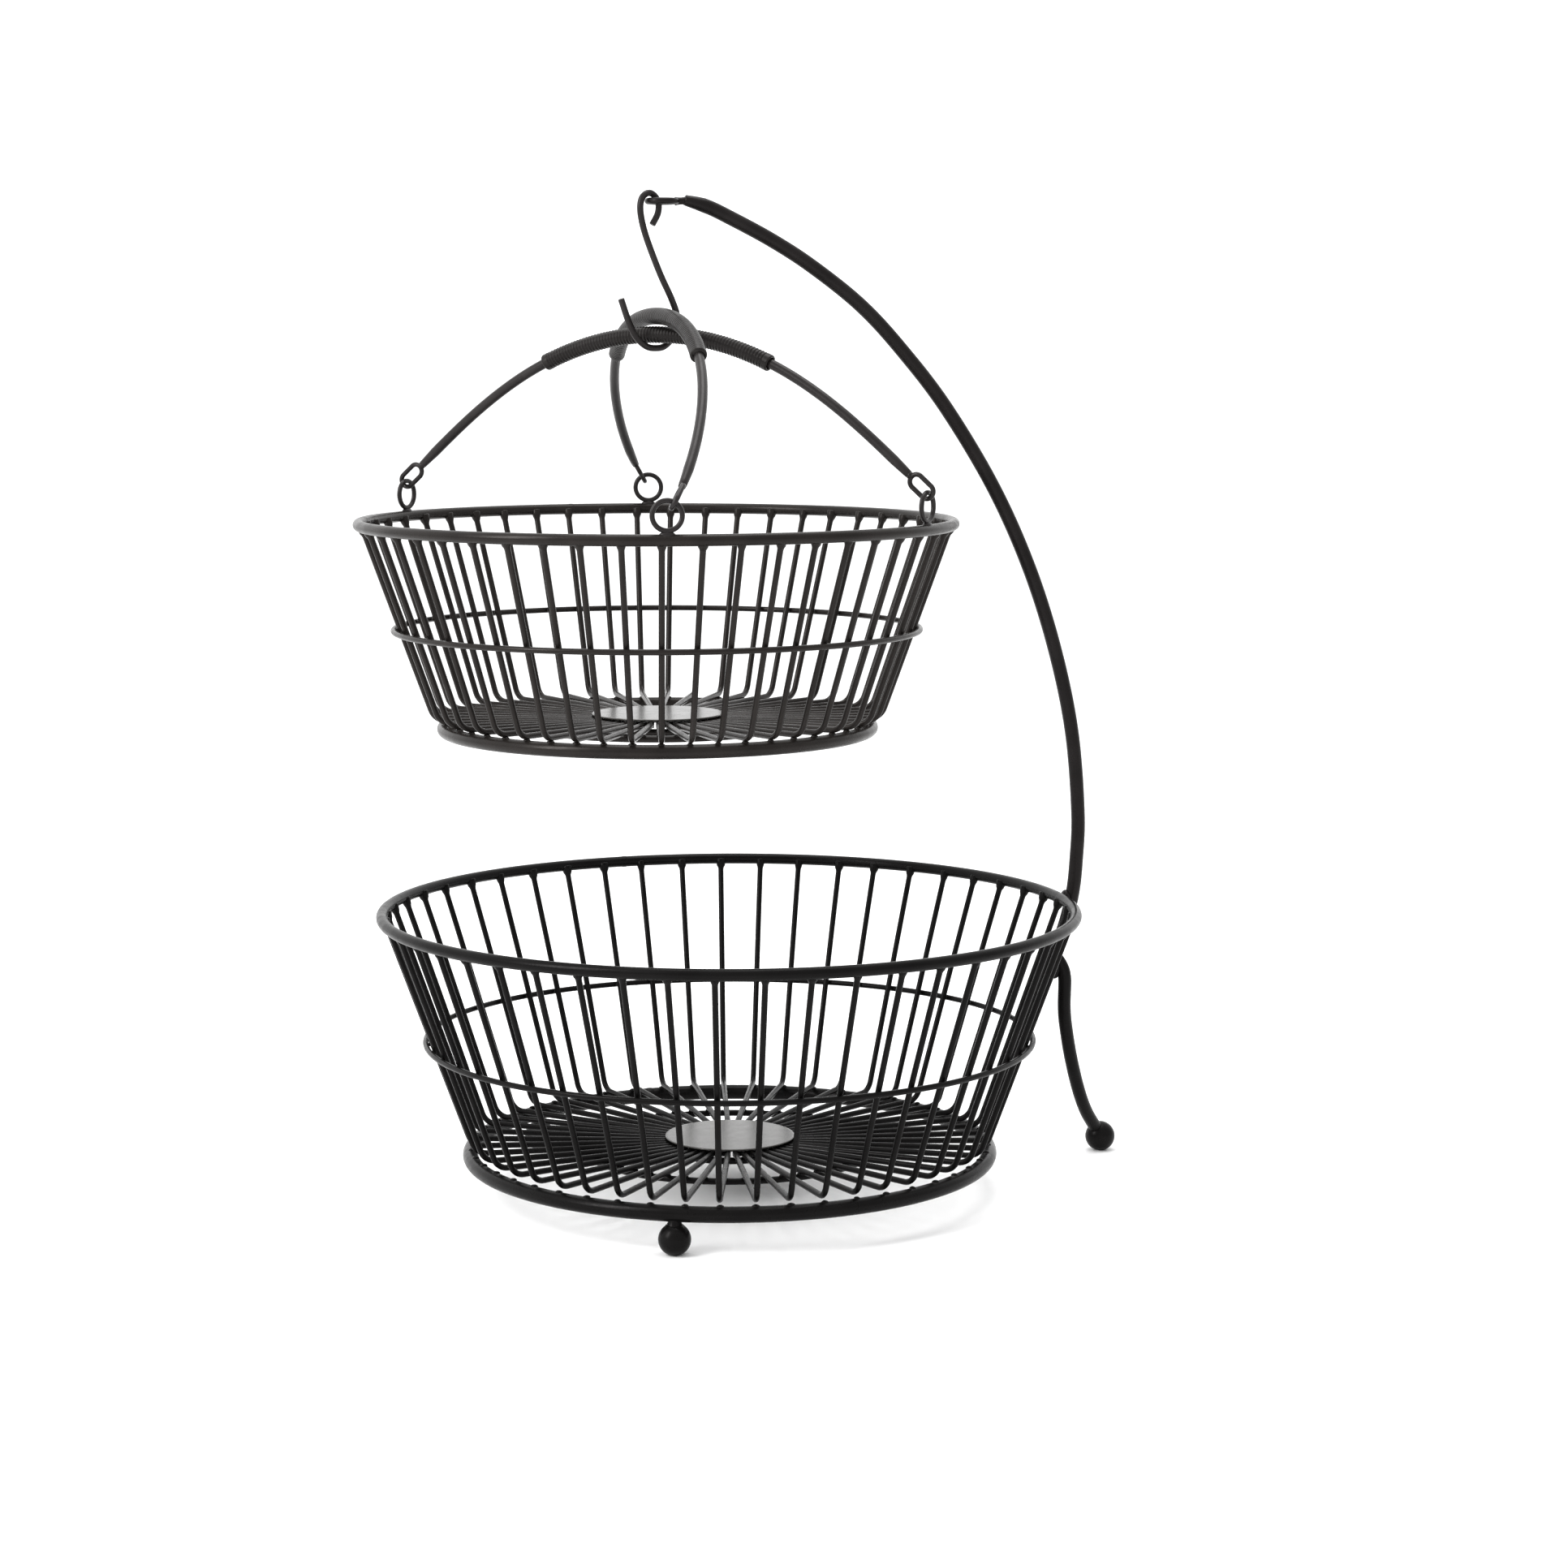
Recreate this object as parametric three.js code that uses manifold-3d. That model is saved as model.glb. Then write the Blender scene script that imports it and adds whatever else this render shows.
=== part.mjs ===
// Two-tier wire produce basket. Millimetres, +Z up, feet on z = 0.
// The arm rises on the +X side of the lower basket and arches back over it.
import * as THREE from "three";
import Module from "manifold-3d";
import { mergeVertices } from "three/addons/utils/BufferGeometryUtils.js";

// Layout
const LOWER_X = -13.5;            // lower basket axis, so the whole object is centred on the origin
const UPPER_X = LOWER_X - 31.3;   // upper basket axis hangs on the side away from the arm
const GAP = 0.3;                  // space left between pieces that touch

// Wires
const SPOKE_R = 1.3;
const INNER_RING_R = 1.4;
const HUB_RING_R = 1.5;
const HOOK_R = 1.4;
const LOOP_R = 1.4;
const LINK_R = 1.05;
const ROD_R = 2.1;
const ARM_R = 3.1;
const LEG_R = 3.0;

// Feet
const BALL_R = 6.8;
const BALL_Z = 6.5;
const FRONT_FOOT_DEG = -114;
const BACK_FOOT_DEG = 128;
const LEG_FOOT_DEG = 9;
const LEG_FOOT_RADIUS = 183;

// Baskets: ring radii are to the wire's centre
const LOWER = {
  name: "lower", x: LOWER_X, spokes: 49, perSector: 7, firstDeg: 5.7,
  rim: { r: 150.4, z: 123.1, wire: 2.5 },
  mid: { z: 67.7, wire: 1.25, spokeR: 129.3 },
  foot: { r: 113.5, z: 17.2, wire: 3.4 },
  innerR: 64,
};
const UPPER = {
  name: "upper", x: UPPER_X, spokes: 49, perSector: 7, firstDeg: 2.36,
  rim: { r: 126.6, z: 292.2, wire: 2.4 },
  mid: { z: 247.1, wire: 1.25, spokeR: 109.4 },
  foot: { r: 91.6, z: 204.8, wire: 3.0 },
  innerR: 55,
};
const SPOKE_IN_FROM_RIM = 1.0;    // spoke line meets the rim this far inside its wire centre
const BEND_CUT = 5.0;             // length of each corner leg that the spoke bend takes up
const HUB_R = 25;
const HUB_DROP = 1.2;             // floor wires fall this much from the bend to the hub
const BEAD_HALF_HEIGHT = 1.35;
const BEAD_HALF_WIDTH = 1.2;
const BEAD_STEPS = 4;
const DISC_R = 28.4;
const DISC_T = 1.0;
const DISC_EDGE = 0.4;

// Hook and bails
const HOOK_DEG = 20;
// A bail's crown turns by twistDeg against the line between its ends: an S seen from above.
const WIDE = {
  deg: -40.25, crownZ: 371.9, crownPull: 55, endPull: 34, twistDeg: 0, sideSlope: 0, linkTiltDeg: 0,
};
const NARROW = {
  deg: -99.5, crownZ: 379.7, crownPull: 48.6, endPull: 46.8, twistDeg: 24.9, sideSlope: 0.313, linkTiltDeg: 29,
};
const GRIP_OUT_R = 3.6;
const GRIP_IN_R = 2.4;
const ROD_STEPS = 24;
const GRIP_FROM_STEP = 7;
const EYE_R = 5.9;
const EYE_Z = UPPER.rim.z + UPPER.rim.wire + GAP + EYE_R + LINK_R;
const LINK_DIR = [0.76, -0.65];   // from the rod end outwards and down to the rim eye
const LINK_HALF = 6.0;
const LINK_WIDTH = 3.0;
const LOOP_RING_R = 6.0;
const LOOP_Z = 427.7;
const ARM_TIP = [-18.6, 428.2];

const wasm = await Module();
wasm.setup();

const coat = new THREE.MeshStandardMaterial({ color: 0x1c1b1a, roughness: 0.42, metalness: 0.0 });
const gripCoat = new THREE.MeshStandardMaterial({ color: 0x242322, roughness: 0.5, metalness: 0.0 });

// A path through fixed corner points, sampled exactly at those corners.
class CornerPath extends THREE.Curve {
  constructor(points) {
    super();
    this.points = points;
  }
  getPoint(t, target = new THREE.Vector3()) {
    const n = this.points.length - 1;
    const i = Math.min(Math.floor(t * n + 1e-9), n - 1);
    return target.copy(this.points[i]).lerp(this.points[i + 1], t * n - i);
  }
  getPointAt(u, target) {
    return this.getPoint(u, target);
  }
  getTangentAt(u, target = new THREE.Vector3()) {
    const n = this.points.length - 1;
    const i = Math.round(u * n);
    const before = this.points[Math.max(i - 1, 0)];
    const after = this.points[Math.min(i + 1, n)];
    return target.copy(after).sub(before).normalize();
  }
}

function circle(radius, sides) {
  const points = [];
  for (let i = 0; i < sides; i += 1) {
    const a = (2 * Math.PI * i) / sides;
    points.push(new THREE.Vector2(radius * Math.cos(a), radius * Math.sin(a)));
  }
  return points;
}

// Round wire along a list of points; an inner radius makes it a sleeve.
function wire(points, radius, sides, innerRadius = 0) {
  const shape = new THREE.Shape(circle(radius, sides));
  if (innerRadius > 0) {
    shape.holes.push(new THREE.Path(circle(innerRadius, sides).reverse()));
  }
  const path = new CornerPath(points);
  return new THREE.ExtrudeGeometry(shape, { steps: points.length - 1, extrudePath: path, bevelEnabled: false });
}

// Rectangular bar along points that lie in a horizontal plane.
function bar(points, halfHeight, halfWidth) {
  const corners = [
    new THREE.Vector2(halfHeight, halfWidth), new THREE.Vector2(-halfHeight, halfWidth),
    new THREE.Vector2(-halfHeight, -halfWidth), new THREE.Vector2(halfHeight, -halfWidth),
  ];
  const path = new CornerPath(points);
  const options = { steps: points.length - 1, extrudePath: path, bevelEnabled: false };
  return new THREE.ExtrudeGeometry(new THREE.Shape(corners), options);
}

// Point at radius r, height z, turned by deg about a vertical axis at x = axisX.
function polar(axisX, r, deg, z) {
  const a = THREE.MathUtils.degToRad(deg);
  return new THREE.Vector3(axisX + r * Math.cos(a), r * Math.sin(a), z);
}

function smooth(points, steps) {
  return new THREE.CatmullRomCurve3(points, false, "centripetal").getSpacedPoints(steps);
}

function toManifold(geometry) {
  const bare = geometry.clone();
  bare.deleteAttribute("normal");
  bare.deleteAttribute("uv");
  const merged = mergeVertices(bare, 1e-4);
  const mesh = new wasm.Mesh({
    numProp: 3,
    vertProperties: new Float32Array(merged.attributes.position.array),
    triVerts: new Uint32Array(merged.index.array),
  });
  return new wasm.Manifold(mesh);
}

function fromManifold(solid) {
  const mesh = solid.getMesh();
  const geometry = new THREE.BufferGeometry();
  geometry.setAttribute("position", new THREE.BufferAttribute(new Float32Array(mesh.vertProperties), 3));
  geometry.setIndex(new THREE.BufferAttribute(new Uint32Array(mesh.triVerts), 1));
  geometry.computeVertexNormals();
  return geometry;
}

function join(geometries) {
  let solid = toManifold(geometries[0]);
  for (const geometry of geometries.slice(1)) {
    solid = solid.add(toManifold(geometry));
  }
  return fromManifold(solid);
}

function horizontalRing(axisX, r, z, wireR, around, sides) {
  const geometry = new THREE.TorusGeometry(r, wireR, sides, around);
  geometry.translate(axisX, 0, z);
  return geometry;
}

function floorZ(basket) {
  return basket.foot.z + basket.foot.wire + GAP + SPOKE_R;
}

// Height of the floor wires' centre at radius r.
function floorAt(basket, r) {
  const cornerR = basket.mid.spokeR - wallSlope(basket) * (basket.mid.z - floorZ(basket));
  const bendR = cornerR - BEND_CUT;
  return floorZ(basket) - (HUB_DROP * (bendR - r)) / (bendR - HUB_R);
}

// Slope of the wall in radius per height.
function wallSlope(basket) {
  const topR = basket.rim.r - SPOKE_IN_FROM_RIM;
  return (topR - basket.mid.spokeR) / (basket.rim.z - basket.mid.z);
}

// One L-shaped spoke: down the wall, round the corner, in along the floor.
function spokePoints(basket, deg) {
  const slope = wallSlope(basket);
  const length = Math.hypot(slope, 1);
  const up = [slope / length, 1 / length];
  const z0 = floorZ(basket);
  const cornerR = basket.mid.spokeR - slope * (basket.mid.z - z0);
  const topR = basket.rim.r - SPOKE_IN_FROM_RIM;
  const back = basket.rim.wire + GAP;
  const profile = [
    [topR - up[0] * back, basket.rim.z - up[1] * back],
    [cornerR + up[0] * BEND_CUT, z0 + up[1] * BEND_CUT],
    [cornerR - BEND_CUT * 0.29 + up[0] * BEND_CUT * 0.29, z0 + up[1] * BEND_CUT * 0.29],
    [cornerR - BEND_CUT, z0],
    [HUB_R, floorAt(basket, HUB_R)],
  ];
  return profile.map(([r, z]) => polar(basket.x, r, deg, z));
}

// Neighbouring spokes joined at the hub by a short curved bead.
function spokeSector(basket, sector) {
  const step = 360 / basket.spokes;
  const first = basket.firstDeg + sector * basket.perSector * step;
  const pieces = [];
  for (let i = 0; i < basket.perSector; i += 1) {
    pieces.push(wire(spokePoints(basket, first + i * step), SPOKE_R, 5));
  }
  const bead = [];
  const overhang = step * 0.38;
  const span = (basket.perSector - 1) * step + 2 * overhang;
  for (let i = 0; i <= BEAD_STEPS; i += 1) {
    bead.push(polar(basket.x, HUB_R, first - overhang + (span * i) / BEAD_STEPS, floorAt(basket, HUB_R)));
  }
  pieces.push(bar(bead, BEAD_HALF_HEIGHT, BEAD_HALF_WIDTH));
  return join(pieces);
}

function hubDisc(basket) {
  const bottom = floorAt(basket, HUB_R) + BEAD_HALF_HEIGHT + GAP;
  const top = bottom + DISC_T;
  const profile = [
    [0, bottom], [DISC_R, bottom], [DISC_R, top - DISC_EDGE], [DISC_R - DISC_EDGE, top], [0, top],
  ];
  const points = profile.map(([r, z]) => new THREE.Vector2(r, z));
  const geometry = new THREE.LatheGeometry(points, 32);
  geometry.rotateX(Math.PI / 2);
  geometry.translate(basket.x, 0, 0);
  return geometry;
}

// Ball foot with a small flat where it stands.
function ballFoot(centre) {
  const flatAngle = Math.acos(BALL_Z / BALL_R);
  const points = [new THREE.Vector2(0, -BALL_Z)];
  for (let i = 0; i <= 8; i += 1) {
    const a = flatAngle + ((Math.PI - flatAngle) * i) / 8;
    points.push(new THREE.Vector2(i === 8 ? 0 : BALL_R * Math.sin(a), -BALL_R * Math.cos(a)));
  }
  const geometry = new THREE.LatheGeometry(points, 14);
  geometry.rotateX(Math.PI / 2);
  geometry.translate(centre.x, centre.y, centre.z);
  return geometry;
}

function armPath() {
  const side = [
    ARM_TIP, [-9.3, 425.7], [1.2, 420.9], [18.9, 411.8], [36.7, 400.8], [58.2, 384.4], [76.3, 365.7],
    [96.5, 340.6], [118.5, 305.6], [135.2, 270], [147.3, 234], [155.4, 198], [158.8, 161.5], [158.2, 139.6],
    [156.6, 124.5], [152.6, 109], [146.6, 95], [141.9, 83],
  ];
  return smooth(side.map(([s, z]) => new THREE.Vector3(LOWER_X + s, 0, z)), 22);
}

// The leg leaves the arm's lower end and curves out and round to the third foot.
function legPath() {
  const track = [
    [153.2, 0, 92], [153.4, 0, 87], [153.8, 0.4, 80], [154.4, 1.1, 73], [155.7, 1.8, 65], [159.9, 3.4, 49.5],
    [166, 5.3, 33], [172.5, 7, 20.5], [179.1, 8.4, 12.5],
  ];
  return smooth(track.map(([r, deg, z]) => polar(LOWER_X, r, deg, z)), 12);
}

function armLoop() {
  const ring = new THREE.TorusGeometry(LOOP_RING_R, LOOP_R, 6, 16);
  const centreX = LOWER_X - 28.5;
  ring.translate(centreX, 0, LOOP_Z);
  const from = new THREE.Vector3(centreX + LOOP_RING_R - 0.4, 0, LOOP_Z);
  const to = new THREE.Vector3(LOWER_X + ARM_TIP[0] - 4 * GAP, 0, LOOP_Z);
  return join([ring, wire([from, to], LOOP_R, 8)]);
}

function hookPath() {
  const side = [
    [-1.7, 417.8], [1.1, 422.6], [1.4, 427], [-0.8, 430.2], [-3.9, 431], [-6.9, 428.4], [-7.4, 422.7],
    [-4.9, 413.3], [1.7, 398.2], [8, 386.3], [10.4, 379], [8.6, 371.5], [4.4, 367.2], [0, 366.2], [-5, 367],
    [-10, 371], [-13.6, 377.5], [-17.2, 386.8],
  ];
  return smooth(side.map(([s, z]) => polar(UPPER_X, s, HOOK_DEG, z)), 34);
}

function eyeCentre(deg) {
  return polar(UPPER_X, UPPER.rim.r, deg, EYE_Z);
}

// Ring eye standing on the rim, facing the basket's axis.
function rimEye(deg) {
  const geometry = new THREE.TorusGeometry(EYE_R, LINK_R, 6, 16);
  geometry.rotateY(Math.PI / 2);
  geometry.rotateZ(THREE.MathUtils.degToRad(deg));
  const c = eyeCentre(deg);
  geometry.translate(c.x, c.y, c.z);
  return geometry;
}

// Where a bail's long link sits, as distance from the basket axis and height.
function linkCentre() {
  const drop = 2 * LINK_R + GAP;
  const along = drop - LINK_HALF;
  return [UPPER.rim.r + LINK_DIR[0] * along, EYE_Z + EYE_R + LINK_DIR[1] * along];
}

// Point in a basket's own directions: outwards at deg, sideways from there, and up.
function outSideUp(axisX, deg, point) {
  const a = THREE.MathUtils.degToRad(deg);
  const x = axisX + point.x * Math.cos(a) - point.y * Math.sin(a);
  return new THREE.Vector3(x, point.x * Math.sin(a) + point.y * Math.cos(a), point.z);
}

// Long link hooked round a rim eye; tiltDeg carries it sideways round the eye.
function bailLink(deg, tiltDeg) {
  const geometry = new THREE.TorusGeometry(LINK_WIDTH, LINK_R, 6, 16);
  const position = geometry.attributes.position;
  const stretch = LINK_HALF - LINK_WIDTH;
  for (let i = 0; i < position.count; i += 1) {
    const x = position.getX(i);
    if (Math.abs(x) > 1e-6) {
      position.setX(i, x + Math.sign(x) * stretch);
    }
  }
  geometry.rotateX(Math.PI / 2);
  geometry.rotateY(Math.atan2(-LINK_DIR[1], LINK_DIR[0]));
  const [r, z] = linkCentre();
  geometry.translate(r, 0, z - EYE_Z);
  geometry.rotateX(-THREE.MathUtils.degToRad(tiltDeg));
  geometry.rotateZ(THREE.MathUtils.degToRad(deg));
  geometry.translate(UPPER_X, 0, EYE_Z);
  return geometry;
}

// Arched rod from one link to the other, sampled at fixed steps.
function bailPath(bail) {
  const [linkR, linkZ] = linkCentre();
  const reach = LINK_HALF + LINK_R + GAP;
  const aboveEye = linkZ - LINK_DIR[1] * reach - EYE_Z;
  const tilt = THREE.MathUtils.degToRad(bail.linkTiltDeg);
  const twist = THREE.MathUtils.degToRad(bail.twistDeg);
  const end = new THREE.Vector3(
    linkR - LINK_DIR[0] * reach,
    aboveEye * Math.sin(tilt),
    EYE_Z + aboveEye * Math.cos(tilt),
  );
  const endDirection = new THREE.Vector3(LINK_DIR[0], -bail.sideSlope, LINK_DIR[1]);
  const half = new THREE.CubicBezierCurve3(
    new THREE.Vector3(0, 0, bail.crownZ),
    new THREE.Vector3(bail.crownPull * Math.cos(twist), bail.crownPull * Math.sin(twist), bail.crownZ),
    end.clone().addScaledVector(endDirection, -bail.endPull),
    end,
  ).getSpacedPoints(ROD_STEPS / 2);
  const left = half.slice(1).reverse().map((p) => outSideUp(UPPER_X, bail.deg + 180, p));
  const right = half.map((p) => outSideUp(UPPER_X, bail.deg, p));
  return left.concat(right);
}

const parts = new THREE.Group();
parts.name = "wire_produce_basket";

function addPart(name, geometry, material = coat) {
  const mesh = new THREE.Mesh(geometry, material);
  mesh.name = name;
  parts.add(mesh);
}

function addBasket(basket) {
  const slope = wallSlope(basket);
  const midR = basket.mid.spokeR + (SPOKE_R + basket.mid.wire + GAP) * Math.hypot(slope, 1);
  const under = BEAD_HALF_HEIGHT + GAP;
  const { x, rim, mid, foot, innerR } = basket;
  addPart(`${basket.name}_rim`, horizontalRing(x, rim.r, rim.z, rim.wire, 40, 6));
  addPart(`${basket.name}_mid_ring`, horizontalRing(x, midR, mid.z, mid.wire, 40, 5));
  addPart(`${basket.name}_foot_ring`, horizontalRing(x, foot.r, foot.z, foot.wire, 40, 6));
  const innerZ = floorAt(basket, innerR) - under - INNER_RING_R;
  const hubZ = floorAt(basket, HUB_R) - under - HUB_RING_R;
  addPart(`${basket.name}_inner_ring`, horizontalRing(x, innerR, innerZ, INNER_RING_R, 24, 5));
  addPart(`${basket.name}_hub_ring`, horizontalRing(x, HUB_R, hubZ, HUB_RING_R, 16, 5));
  addPart(`${basket.name}_hub_disc`, hubDisc(basket));
  const sectors = basket.spokes / basket.perSector;
  for (let i = 0; i < sectors; i += 1) {
    addPart(`${basket.name}_spokes_${String(i + 1).padStart(2, "0")}`, spokeSector(basket, i));
  }
}

function addBail(name, bail) {
  const path = bailPath(bail);
  addPart(`${name}_bail_rod`, wire(path, ROD_R, 8));
  const grip = path.slice(GRIP_FROM_STEP, path.length - GRIP_FROM_STEP);
  addPart(`${name}_bail_grip`, wire(grip, GRIP_OUT_R, 8, GRIP_IN_R), gripCoat);
  addPart(`${name}_bail_link_a`, bailLink(bail.deg, bail.linkTiltDeg));
  addPart(`${name}_bail_link_b`, bailLink(bail.deg + 180, bail.linkTiltDeg));
  addPart(`upper_eye_${name}_a`, rimEye(bail.deg));
  addPart(`upper_eye_${name}_b`, rimEye(bail.deg + 180));
}

addBasket(LOWER);
addPart("front_ball_foot", ballFoot(polar(LOWER_X, LOWER.foot.r, FRONT_FOOT_DEG, BALL_Z)));
addPart("back_ball_foot", ballFoot(polar(LOWER_X, LOWER.foot.r, BACK_FOOT_DEG, BALL_Z)));
addPart("leg_ball_foot", ballFoot(polar(LOWER_X, LEG_FOOT_RADIUS, LEG_FOOT_DEG, BALL_Z)));
addPart("leg_tube", wire(legPath(), LEG_R, 8));
addPart("arm_tube", wire(armPath(), ARM_R, 8));
addPart("arm_loop", armLoop());
addPart("s_hook", wire(hookPath(), HOOK_R, 6));
addBasket(UPPER);
addBail("wide", WIDE);
addBail("narrow", NARROW);

export default parts;
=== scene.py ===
"""Looks of the two-tier wire produce basket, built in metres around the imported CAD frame."""

import math
import random

import bmesh
import bpy
from mathutils import Matrix, Vector

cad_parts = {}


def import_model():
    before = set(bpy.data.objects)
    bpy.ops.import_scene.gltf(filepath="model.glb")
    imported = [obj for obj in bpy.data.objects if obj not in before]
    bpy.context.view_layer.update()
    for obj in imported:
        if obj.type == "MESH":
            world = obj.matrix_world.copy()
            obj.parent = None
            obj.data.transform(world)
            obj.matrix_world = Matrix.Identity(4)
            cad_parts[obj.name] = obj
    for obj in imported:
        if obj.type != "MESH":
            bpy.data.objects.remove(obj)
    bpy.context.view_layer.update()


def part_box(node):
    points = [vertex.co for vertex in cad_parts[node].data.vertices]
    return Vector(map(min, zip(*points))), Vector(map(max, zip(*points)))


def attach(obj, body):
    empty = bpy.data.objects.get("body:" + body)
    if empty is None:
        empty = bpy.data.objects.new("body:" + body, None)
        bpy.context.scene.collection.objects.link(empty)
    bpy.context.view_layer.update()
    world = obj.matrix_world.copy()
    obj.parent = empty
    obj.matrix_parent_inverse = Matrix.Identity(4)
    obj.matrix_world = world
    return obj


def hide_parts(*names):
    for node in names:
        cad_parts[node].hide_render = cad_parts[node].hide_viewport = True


MM = 0.001

# Wire radii
SPOKE_R = 1.3 * MM
INNER_RING_R = 1.4 * MM
HUB_RING_R = 1.5 * MM
HOOK_R = 1.4 * MM
LOOP_R = 1.4 * MM
LINK_R = 1.05 * MM
ROD_R = 2.1 * MM
ARM_R = 3.1 * MM
LEG_R = 3.0 * MM
BALL_R = 6.8 * MM

# Baskets: wire radii, and where the spoke line crosses the rim and the mid ring
BASKETS = {
    "lower": {
        "body": "stand", "rim_wire": 2.5 * MM, "mid_wire": 1.25 * MM, "foot_wire": 3.4 * MM,
        "spokes": 49, "per_sector": 7, "first_deg": 5.7, "mid_spoke_r": 129.3 * MM,
    },
    "upper": {
        "body": "upper_basket", "rim_wire": 2.4 * MM, "mid_wire": 1.25 * MM, "foot_wire": 3.0 * MM,
        "spokes": 49, "per_sector": 7, "first_deg": 2.36, "mid_spoke_r": 109.4 * MM,
    },
}
SPOKE_IN_FROM_RIM = 1.0 * MM
TOUCH_GAP = 0.3 * MM
BEND_R = 7.0 * MM
HUB_R = 25 * MM
DISC_R = 28.4 * MM
DISC_EDGE = 0.4 * MM
HUB_DROP = 1.2 * MM
WELD_REACH = 2.6 * MM
WELD_GROW = 1.1 * MM
WELD_STOPS = (0.7 * MM, 1.4 * MM, 2.1 * MM, 2.8 * MM, 3.6 * MM, 6.0 * MM)
BEND_STEPS = 8
LEAN_DEG = 0.35
TOP_SHIFT_DEG = 0.25
BUTT_WELD_DEG = 97
HUB_BEAD_R = 1.25 * MM
HUB_BEAD_UNEVEN = 0.12 * MM
HUB_BEAD_STEPS = 16
HUB_BEAD_OVERHANG = 0.38

# Hook and bails, angles in the basket's plan
HOOK_DEG = 20
BAILS = {
    "wide": {
        "deg": -40.25, "crown_z": 371.9 * MM, "crown_pull": 55 * MM, "end_pull": 34 * MM,
        "twist_deg": 0, "side_slope": 0, "link_tilt_deg": 0, "rib_depth": 0.36 * MM,
    },
    "narrow": {
        "deg": -99.5, "crown_z": 379.7 * MM, "crown_pull": 48.6 * MM, "end_pull": 46.8 * MM,
        "twist_deg": 24.9, "side_slope": 0.313, "link_tilt_deg": 29, "rib_depth": 0.1 * MM,
    },
}
LINK_DIR = (0.76, -0.65)
LINK_HALF = 6.0 * MM
LINK_WIDTH = 3.0 * MM
EYE_R = 5.9 * MM
GRIP_OUT_R = 3.6 * MM
GRIP_IN_R = 2.75 * MM
GRIP_ROUNDING = 0.25 * MM
RIB_PITCH = 1.45 * MM
STEPS_PER_RIB = 6
CUFF_STEPS = 2 * STEPS_PER_RIB
ROD_STEPS = 12
GRIP_FROM_STEP = 7
LOOP_RING_R = 6.0 * MM

# Bent rods, in millimetres from the axis of the basket they belong to
# Leg: distance from the lower axis, direction in degrees, height
LEG_TRACK = [
    (147.2, 0, 99), (150.2, 0, 96), (152.6, 0, 91), (153.5, 0, 86), (153.8, 0.4, 80),
    (154.4, 1.1, 73), (155.7, 1.8, 65), (159.9, 3.4, 49.5), (166, 5.3, 33), (172.5, 7, 20.5),
    (180.2, 8.6, 10.6),
]
# Arm: distance towards +X from the lower axis, height
ARM_TRACK = [
    (-18.9, 428.3), (-9.3, 425.7), (1.2, 420.9), (18.9, 411.8), (36.7, 400.8), (58.2, 384.4),
    (76.3, 365.7), (96.5, 340.6), (118.5, 305.6), (135.2, 270), (147.3, 234), (155.4, 198),
    (158.8, 161.5), (158.2, 139.6), (156.6, 124.5), (152.6, 109), (146.6, 95), (141.9, 83),
]
# Hook: distance from the upper axis in the hook's plane, height
HOOK_TRACK = [
    (-1.7, 417.8), (1.1, 422.6), (1.4, 427), (-0.8, 430.2), (-3.9, 431), (-6.9, 428.4),
    (-7.4, 422.7), (-4.9, 413.3), (1.7, 398.2), (8, 386.3), (10.4, 379), (8.6, 371.5),
    (4.4, 367.2), (0, 366.2), (-5, 367), (-10, 371), (-13.6, 377.5), (-17.2, 386.8),
]

# Powder coats: darkest and lightest colour, colour of the gloss, its strength, roughness, orange peel
COATS = {
    "lower": {
        "dark": (0.0026, 0.0024, 0.0024), "light": (0.0052, 0.0049, 0.0048), "gloss_tint": (1, 0.97, 0.97),
        "gloss": 0.07, "rough": (0.24, 0.34), "peel": 0.12,
    },
    "upper": {
        "dark": (0.0078, 0.0066, 0.0060), "light": (0.0145, 0.0125, 0.0115), "gloss_tint": (1, 0.94, 0.91),
        "gloss": 0.14, "rough": (0.24, 0.34), "peel": 0.12,
    },
    "arm": {
        "dark": (0.0052, 0.0044, 0.0043), "light": (0.0105, 0.0092, 0.0089), "gloss_tint": (1, 0.94, 0.94),
        "gloss": 0.11, "rough": (0.24, 0.34), "peel": 0.12,
    },
    "bail": {
        "dark": (0.0095, 0.0083, 0.0082), "light": (0.0170, 0.0152, 0.0150), "gloss_tint": (1, 0.95, 0.95),
        "gloss": 0.18, "rough": (0.26, 0.36), "peel": 0.12,
    },
    "grip": {
        "dark": (0.0068, 0.0060, 0.0057), "light": (0.0125, 0.0112, 0.0108), "gloss_tint": (1, 0.95, 0.93),
        "gloss": 0.16, "rough": (0.28, 0.40), "peel": 0.08,
    },
    "disc": {
        "dark": (0.0180, 0.0170, 0.0155), "light": (0.0240, 0.0228, 0.0210), "gloss_tint": (1, 0.98, 0.95),
        "gloss": 0.50, "rough": (0.22, 0.26), "peel": 0.03,
    },
}

CLOUD_SCALE = 55
GLOSS_SCALE = 210
PEEL_SCALE = 900
PEEL_HEIGHT = 0.2 * MM

# Camera, from the lower basket's axis; angles in degrees
CAMERA_DISTANCE = 1.459
CAMERA_HEIGHT = 0.3705
CAMERA_SIDE_DEG = 12.5
CAMERA_TURN_DEG = 0.932
CAMERA_DOWN_DEG = 7.484
CAMERA_LENS = 77.96
SENSOR = 36

# Studio
FLOOR_R = 60
FLOOR_RINGS = (0.6, 2.5, FLOOR_R)
STUDIO_MIDDLE = (0, 0, 0.2)
BRIGHT_SIDE = (-0.35, 0.8, 0.45)
SURROUND_BRIGHT = 1.6
SURROUND_DIM = 1.0

EAST = Vector((1, 0, 0))
NORTH = Vector((0, 1, 0))


# ---------------------------------------------------------------- mesh helpers

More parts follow.
